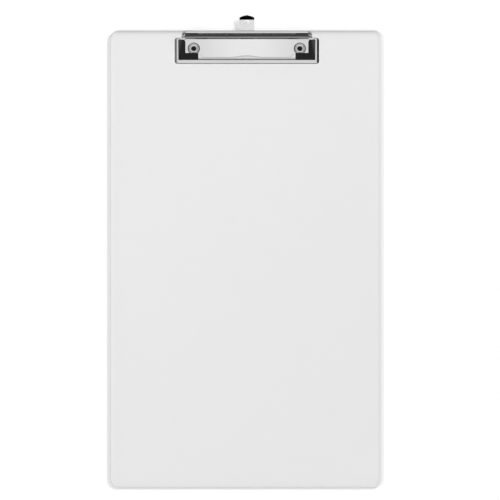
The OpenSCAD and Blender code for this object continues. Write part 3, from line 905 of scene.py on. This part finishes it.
def make_base_plate(material):
    extra = [make(side) for side in (-1, 1) for make in (make_tongue, make_ear, make_fillet)]
    plate = combine(make_pan(), extra)
    rear, front = PAN_REAR - 1, PAN_REAR + SHEET + 0.4
    opening = [(-PASSAGE_HALF, rear), (PASSAGE_HALF, rear), (PASSAGE_HALF, front), (-PASSAGE_HALF, front)]
    passage = prism("passage", opening, FACE - 1, PAN_TOP - SHEET)
    plate = combine(plate, [passage, pin_bore(0.03)], "DIFFERENCE")
    finish_piece(plate, "base", material, "base_plate")


# ---- pin, rivets, washers

PIN_HEAD_R = 1.25
PIN_DOME = 0.22


def make_hinge_pin(material):
    end, neck = PIN_HIGH.x, PIN_HIGH.x - 0.35
    dome = [(u, end - PIN_DOME + PIN_DOME * v / PIN_HEAD_R)
            for u, v in arc(0, 0, PIN_HEAD_R, 0, 80, 4)]
    half = [(PIN_R, neck - 0.02), (PIN_HEAD_R - 0.06, neck), (PIN_HEAD_R, neck + 0.05)] + dome
    half.append((AXIS_R, end))
    profile = [(r, -x) for r, x in reversed(half)] + half
    pin = lathe("peened_hinge_pin", profile, (0, PIN_S, PIN_Z), "x", 48)
    finish_piece(pin, "base", material, "hinge_pin")


BORE_R = 1.8
BORE_DEPTH = 2.4
DRILL_ANGLE = radians(59)
SHANK_R = 2.2
FLANGE_R = 3.7
FLANGE_T = 0.55
HEAD_EDGE_R = 0.2
FLANGE_ROUNDING = 0.6  # 1 for a round flange section, less for a squarer one


def rivet_profile():
    """A semi-tubular rivet as (radius, z), from the bottom of its bore out and round to its head"""
    top, bottom, head_r = RIVET_HIGH.z, RIVET_LOW.z, RIVET_HIGH.x - RIVET_X
    bore_end = top - BORE_DEPTH
    point = BORE_R / tan(DRILL_ANGLE)
    profile = [(AXIS_R, bore_end - point), (BORE_R * 0.5, bore_end - point / 2), (BORE_R, bore_end),
               (BORE_R, top - 1.0)]
    middle, half_w = (BORE_R + FLANGE_R) / 2, (FLANGE_R - BORE_R) / 2
    for i in range(19):
        a = radians(180 - 180 * i / 18)
        across = copysign(abs(cos(a)) ** FLANGE_ROUNDING, cos(a))
        profile.append((middle + half_w * across, top - FLANGE_T + FLANGE_T * sin(a) ** FLANGE_ROUNDING))
    head_top = bottom + FLANGE_T - 0.02
    profile += [(SHANK_R + 0.1, top - FLANGE_T - 0.02), (SHANK_R, top - FLANGE_T - 0.1),
                (SHANK_R, head_top + 0.05), (SHANK_R + 0.05, head_top)]
    profile += arc(head_r - HEAD_EDGE_R, head_top - HEAD_EDGE_R, HEAD_EDGE_R, 90, -60, 6)
    return profile + [(2.6, bottom + 0.03), (1.2, bottom), (AXIS_R, bottom)]


def make_rivet(materials):
    rivet = lathe("right_hollow_rivet", rivet_profile(), (RIVET_X, RIVET_S, 0), "z", 80)
    for made in finish_pair(rivet, "base", materials, "rivet"):
        for face in made.data.polygons:
            centre = face.center / MM
            reach = hypot(abs(centre.x) - RIVET_X, TOP_EDGE - centre.y - RIVET_S)
            face.material_index = 1 if reach < BORE_R + 0.05 and centre.z > 1.0 else 0


def make_washer(material):
    r0, r1 = RIVET_HOLE_R, WASHER_HIGH.x - RIVET_X
    z0, z1, cut = WASHER_LOW.z, WASHER_HIGH.z, 0.08
    section = [(r0, z0 + cut), (r0 + cut, z0), (r1 - cut, z0), (r1, z0 + cut),
               (r1, z1 - cut), (r1 - cut, z1), (r0 + cut, z1), (r0, z1 - cut)]
    bm = bmesh.new()
    rows = [[at(x, s, z) for x, s in circle(RIVET_X, RIVET_S, radius, 72)] for radius, z in section]
    add_rows(bm, rows, close_rows=True, close_ring=True)
    finish_pair(mesh_object("right_plated_washer", bm), "base", material, "rivet_washer")


# ---- springs

WIRE_R = 0.45
COIL_R = 1.75
COIL_TURNS = 9.375
COIL_PITCH = 0.96
FOOT_LEG = 1.8
LEVER_LEG = 3.8
WIRE_END = 0.12  # how far the wire's ends are rounded, as a share of its radius
WIRE_END_SCALE = 0.72


def spring_path():
    """The wire's middle line: the leg on the base, the coil, the leg on the lever"""
    start_x = SPRING_LOW.x + WIRE_R
    steps = int(32 * COIL_TURNS)
    path = [(start_x, PIN_S - FOOT_LEG * t, PIN_Z - COIL_R) for t in (1, 0.75, 0.5, 0.25)]
    coil = arc(0, 0, COIL_R, 270, 270 - 360 * COIL_TURNS, steps)
    for i, (back, up) in enumerate(coil):
        path.append((start_x + COIL_PITCH * COIL_TURNS * i / steps, PIN_S - back, PIN_Z + up))
    end_x, end_s, end_z = path[-1]
    for i in range(1, 6):
        reach = LEVER_LEG * i / 5 * sqrt(0.5)
        path.append((end_x, end_s - reach, end_z + reach))
    return [at(*p) for p in path]


def make_springs(material):
    path = spring_path()
    rings = []
    for i, place in enumerate(path):
        ahead = (path[min(i + 1, len(path) - 1)] - path[max(i - 1, 0)]).normalized()
        u = ahead.cross(Vector((1, 0, 0))).normalized()
        v = ahead.cross(u)
        sections = [(0.0, 1.0)]
        if i == 0:
            sections.insert(0, (-WIRE_END, WIRE_END_SCALE))
        if i == len(path) - 1:
            sections.append((WIRE_END, WIRE_END_SCALE))
        for shift, scale in sections:
            centre = place + ahead * shift * WIRE_R * MM
            rings.append([centre + (u * x + v * y) * MM for x, y in circle(0, 0, WIRE_R * scale, 14)])
    springs = finish_pair(tube("right_wound_spring", rings), None, material, "torsion_spring")
    for made, sign in zip(springs, (1, -1)):
        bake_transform(made)


# ---- pads

PAD_GAP = 0.05
PAD_ROUND = 2.2
PAD_LEG_S = 18.8
PAD_TOE = PAD_LOW.x


def pad_outline(inner, rear, leg, front, outer, heel_r, toe_r):
    """An L in plan (x, s): a side leg round at its inner rear corner, and a front leg"""
    outline = [(outer, rear)] + arc(inner + PAD_ROUND, rear + PAD_ROUND, PAD_ROUND, 270, 180, 8)
    outline += [(inner, leg - 0.3), (inner - 0.1, leg - 0.1), (inner - 0.3, leg)]
    outline += arc(PAD_TOE + toe_r, leg + toe_r, toe_r, 270, 180, 6)
    outline += arc(PAD_TOE + toe_r, front - toe_r, toe_r, 180, 90, 6)
    return outline + arc(outer - heel_r, front - heel_r, heel_r, 90, 0, 8)


def make_pads(material):
    """Each pad is a lip inside the frame's window on a wider foot under the bars"""
    window_x = FRAME_HALF - SIDE_BAR_W - PAD_GAP
    window_s = FRAME_FRONT - FRONT_BAR_W - PAD_GAP
    rear = TOP_EDGE - PAD_HIGH.y
    lip = pad_outline(WEB_INNER, rear, PAD_LEG_S, window_s, window_x, WINDOW_CORNER_R, 0.9)
    foot = pad_outline(PAN_HALF + 0.5, rear + 0.5, PAN_FRONT + WALL_DRAFT + 0.1,
                       TOP_EDGE - PAD_LOW.y, PAD_HIGH.x, FRAME_CORNER_R - SHEET, 0.6)
    upper = soften(prism("right_pad", lip, FACE + 2.5, PAD_HIGH.z), 0.35, 3, 50)
    lower = soften(prism("pad_foot", foot, PAD_LOW.z, FRAME_TOP - SHEET - 0.55), 0.2, 2, 50)
    finish_pair(combine(upper, [lower]), "jaw", material, "rubber_pad")


# ---- hanging tab

TAB_T = 1.0
TAB_END = TOP_EDGE - TAB_HIGH.y
TAB_LIP_RUN = 4.1
TAB_LIP_RISE = 3.0
TAB_BEND = 0.4
TAB_END_R = 12
TAB_HEAD_DEPTH = 3
TAB_CUTS = 15  # strips that the turned-up end is cut into
MOUNT = next(m for m in frame["record"]["mounts"] if m["name"] == "hanging_hole")
HANG_S = TOP_EDGE - MOUNT["pos_m"][1] / MM
HANG_R = MOUNT["dims"]["r_mm"]


def tab_outline():
    head_half, head_front = TAB_HIGH.x, TOP_EDGE - TAB_LOW.y
    neck = head_front - TAB_HEAD_DEPTH
    half_angle = degrees(asin(TAB_HALF / TAB_END_R))
    right = [(head_half, head_front), (head_half, neck), (TAB_HALF, neck)]
    end = arc(0, TAB_END + TAB_END_R, TAB_END_R, -90 + half_angle, -90 - half_angle, 24)
    left = [(-x, s) for x, s in reversed(right)]
    return right + end + left


def tab_lift(s):
    """How far the tab's end is turned up at s"""
    past = TAB_END + TAB_LIP_RUN - s
    if past <= 0:
        return 0.0
    slope = TAB_LIP_RISE / (TAB_LIP_RUN - TAB_BEND / 2)
    return slope * (past * past / (2 * TAB_BEND) if past < TAB_BEND else past - TAB_BEND / 2)


def tab_slope(s, step=0.01):
    return (tab_lift(s - step) - tab_lift(s + step)) / (2 * step)


def make_tab(material):
    bm = bmesh.new()
    low = TAB_LOW.z
    lines = (tab_outline(), circle(0, HANG_S, HANG_R, 64))
    loops = [[[bm.verts.new(at(x, s, z)) for x, s in line] for line in lines]
             for z in (low, low + TAB_T)]
    for below, above in zip(*loops):
        skin_rows(bm, [below, above], close_ring=True)
    fill_between(bm, loops[0], (0, 0, -1))
    fill_between(bm, loops[1], (0, 0, 1))
    bent = TAB_LIP_RUN * 1.1  # the turned-up end and a little more
    for i in range(1, TAB_CUTS):
        s = TAB_END + bent * i / TAB_CUTS
        bmesh.ops.bisect_plane(bm, geom=bm.verts[:] + bm.edges[:] + bm.faces[:],
                               plane_co=at(0, s, 0), plane_no=(0, 1, 0))
    tab = soften(mesh_object("plated_hanging_tab", bm), 0.1, 2, 60)
    for v in tab.data.vertices:
        s = TOP_EDGE - v.co.y / MM
        above = v.co.z / MM - low
        tilt = atan(tab_slope(s))
        v.co = at(v.co.x / MM, s + above * sin(tilt), low + tab_lift(s) + above * cos(tilt))
    finish_piece(tab, "hanger", material, "hanging_tab")
    tab.modifiers.clear()
    shade_tab(tab.data)


def shade_tab(mesh):
    """Shades the tab's two faces as the flat and turned-up sheet they are"""
    normals = [corner.vector.copy() for corner in mesh.corner_normals]
    for face in mesh.polygons:
        if abs(face.normal.z) > 0.6 and abs(face.normal.x) < 0.05:
            side = 1 if face.normal.z > 0 else -1
            for corner in face.loop_indices:
                s = TOP_EDGE - mesh.vertices[mesh.loops[corner].vertex_index].co.y / MM
                normals[corner] = (Vector((0, -tab_slope(s), 1)) * side).normalized()
    mesh.normals_split_custom_set(normals)


# ---- the whole set

plate_chrome = chrome("mirror_plate", 0.82, 0.05, 0.03)
frame_chrome = chrome("mirror_frame", 0.66, 0.05, 0.03)
tab_chrome = chrome("mirror_tab", 0.80, 0.05, 0.04, True)
rivet_chrome = chrome("rivet_plating", 0.72, 0.12, 0.05)

make_board(clear_plastic("clear_sheet"))
make_base_plate(plate_chrome)
make_clamp_frame(frame_chrome)
make_hinge_pin(drawn_steel("drawn_pin_steel", 0.55, 0.3, (1, 20, 20)))
make_springs(drawn_steel("spring_steel", 0.42, 0.3, (20, 3, 3)))
make_pads(rubber("black_moulded_rubber"))
make_rivet([rivet_chrome, unplated_shaded_bore("drilled_bore")])
make_washer(zinc("zinc_plating"))
make_tab(tab_chrome)


# ---- floor, light, view

# from here on lengths are in metres
CAMERA_LENS = 1600
CAMERA_SENSOR = 36
VIEW_WIDTH = 0.4167
VIEW_X, VIEW_Y = 0.0026, 0.0075
FLOOR_Z = -0.0002
FLOOR_HALF = 3.0
FLOOR_SQUARES = 24
STRIP_WIDTH = 1.3  # in degrees


def make_floor():
    bm = bmesh.new()
    places = [mix(-FLOOR_HALF, FLOOR_HALF, i / FLOOR_SQUARES) for i in range(FLOOR_SQUARES + 1)]
    add_rows(bm, [[Vector((x, y, FLOOR_Z)) for x in places] for y in places])
    floor = mesh_object("pale_floor", bm)
    material, tree = new_material("pale_paper")
    color = mix_color(tree, noise_value(tree, 500.0, 4.0), grey(0.93), grey(0.95))
    matte = add_node(tree, "ShaderNodeBsdfDiffuse", None, {"Color": color})
    floor.data.materials.append(show(material, matte.outputs[0]))


def make_studio():
    """Soft white overhead, brighter in a narrow strip along Y; black to the right and
    low in front, grey to the left, white low behind: what the plating mirrors"""
    world = bpy.data.worlds.new("studio")
    bpy.context.scene.world = world
    world.use_nodes = True
    tree = world.node_tree
    tree.nodes.clear()
    x, y, z = axes(tree, add_node(tree, "ShaderNodeTexCoord").outputs["Generated"])
    rise = calc(tree, "MULTIPLY", calc(tree, "ARCSINE", z), 180 / pi)
    across = calc(tree, "MULTIPLY_ADD", x, x, calc(tree, "MULTIPLY_ADD", y, y, 1e-5))
    level = calc(tree, "SQRT", across)
    east, north = calc(tree, "DIVIDE", x, level), calc(tree, "DIVIDE", y, level)
    ratio = calc(tree, "DIVIDE", x, calc(tree, "MAXIMUM", z, 0.05))
    spread = tan(radians(STRIP_WIDTH)) ** 2
    strip = calc(tree, "EXPONENT", calc(tree, "DIVIDE", calc(tree, "MULTIPLY", ratio, ratio), -spread))
    zenith = calc(tree, "MULTIPLY_ADD", strip, 0.31, 0.97)

    def ramp(*steps):
        """A brightness that follows the elevation, through (elevation, value) steps"""
        value = steps[0][1]
        for (low, a), (high, b) in zip(steps, steps[1:]):
            value = calc(tree, "ADD", value, map_range(tree, rise, low, high, 0.0, b - a))
        return value

    light = ramp((8, 0.95), (14, 0.42), (22, 0.40), (32, 0.85), (60, 0.55), (80, 1.0))
    front = ramp((6, 0.075), (20, 0.28), (34, 0.38), (74, 0.6), (84, 1.0))
    back = ramp((10, 0.9), (18, 0.38), (28, 0.38), (60, 0.36), (82, 1.1))
    right = ramp((74, 0.01), (85, 1.0))
    left = ramp((70, 0.28), (84, 1.0))
    for sector, way_to in ((front, calc(tree, "MULTIPLY", north, -1.0)), (back, north),
                           (right, east), (left, calc(tree, "MULTIPLY", east, -1.0))):
        light = mix_value(tree, map_range(tree, way_to, 0.55, 0.85), light, sector)
    light = mix_value(tree, map_range(tree, rise, 78, 86), light, zenith)
    rays = light_path(tree)
    light = mix_value(tree, rays["Is Transmission Ray"], light, 0.62)
    seen = mix_value(tree, rays["Is Camera Ray"], light, 1.05)
    shade = add_node(tree, "ShaderNodeBackground", None, {"Strength": seen})
    plug(tree, tree.nodes.new("ShaderNodeOutputWorld").inputs["Surface"], shade.outputs[0])


def hidden_lamp(name, kind, place, energy):
    """A lamp that lights but isn't mirrored"""
    lamp = bpy.data.lights.new(name, kind)
    lamp.energy = energy
    light = new_object(name, lamp)
    light.location = place
    light.rotation_euler = (-light.location).to_track_quat("-Z", "Y").to_euler()
    light.visible_glossy = False
    light.visible_camera = False
    light.visible_transmission = False
    return lamp


def make_lamps():
    """A broad key from the upper right, and a large soft box overhead"""
    key = hidden_lamp("key", "SUN", (1.2, 0.85, 1.15), 1.75)
    key.angle = radians(20)
    overhead = hidden_lamp("overhead", "AREA", (0, 0, 2.2), 56.0)
    overhead.shape = "SQUARE"
    overhead.size = 4.5
    overhead.use_shadow = False


def make_camera():
    data = bpy.data.cameras.new("camera")
    data.lens = CAMERA_LENS
    data.sensor_width = CAMERA_SENSOR
    camera = new_object("camera", data)
    height = VIEW_WIDTH * CAMERA_LENS / CAMERA_SENSOR
    camera.location = (VIEW_X, VIEW_Y, FACE * MM + height)
    data.clip_start, data.clip_end = 0.1, 60.0
    bpy.context.scene.camera = camera


make_floor()
make_studio()
make_lamps()
make_camera()
bpy.context.scene.view_settings.view_transform = "Standard"
bpy.context.scene.view_settings.look = "None"
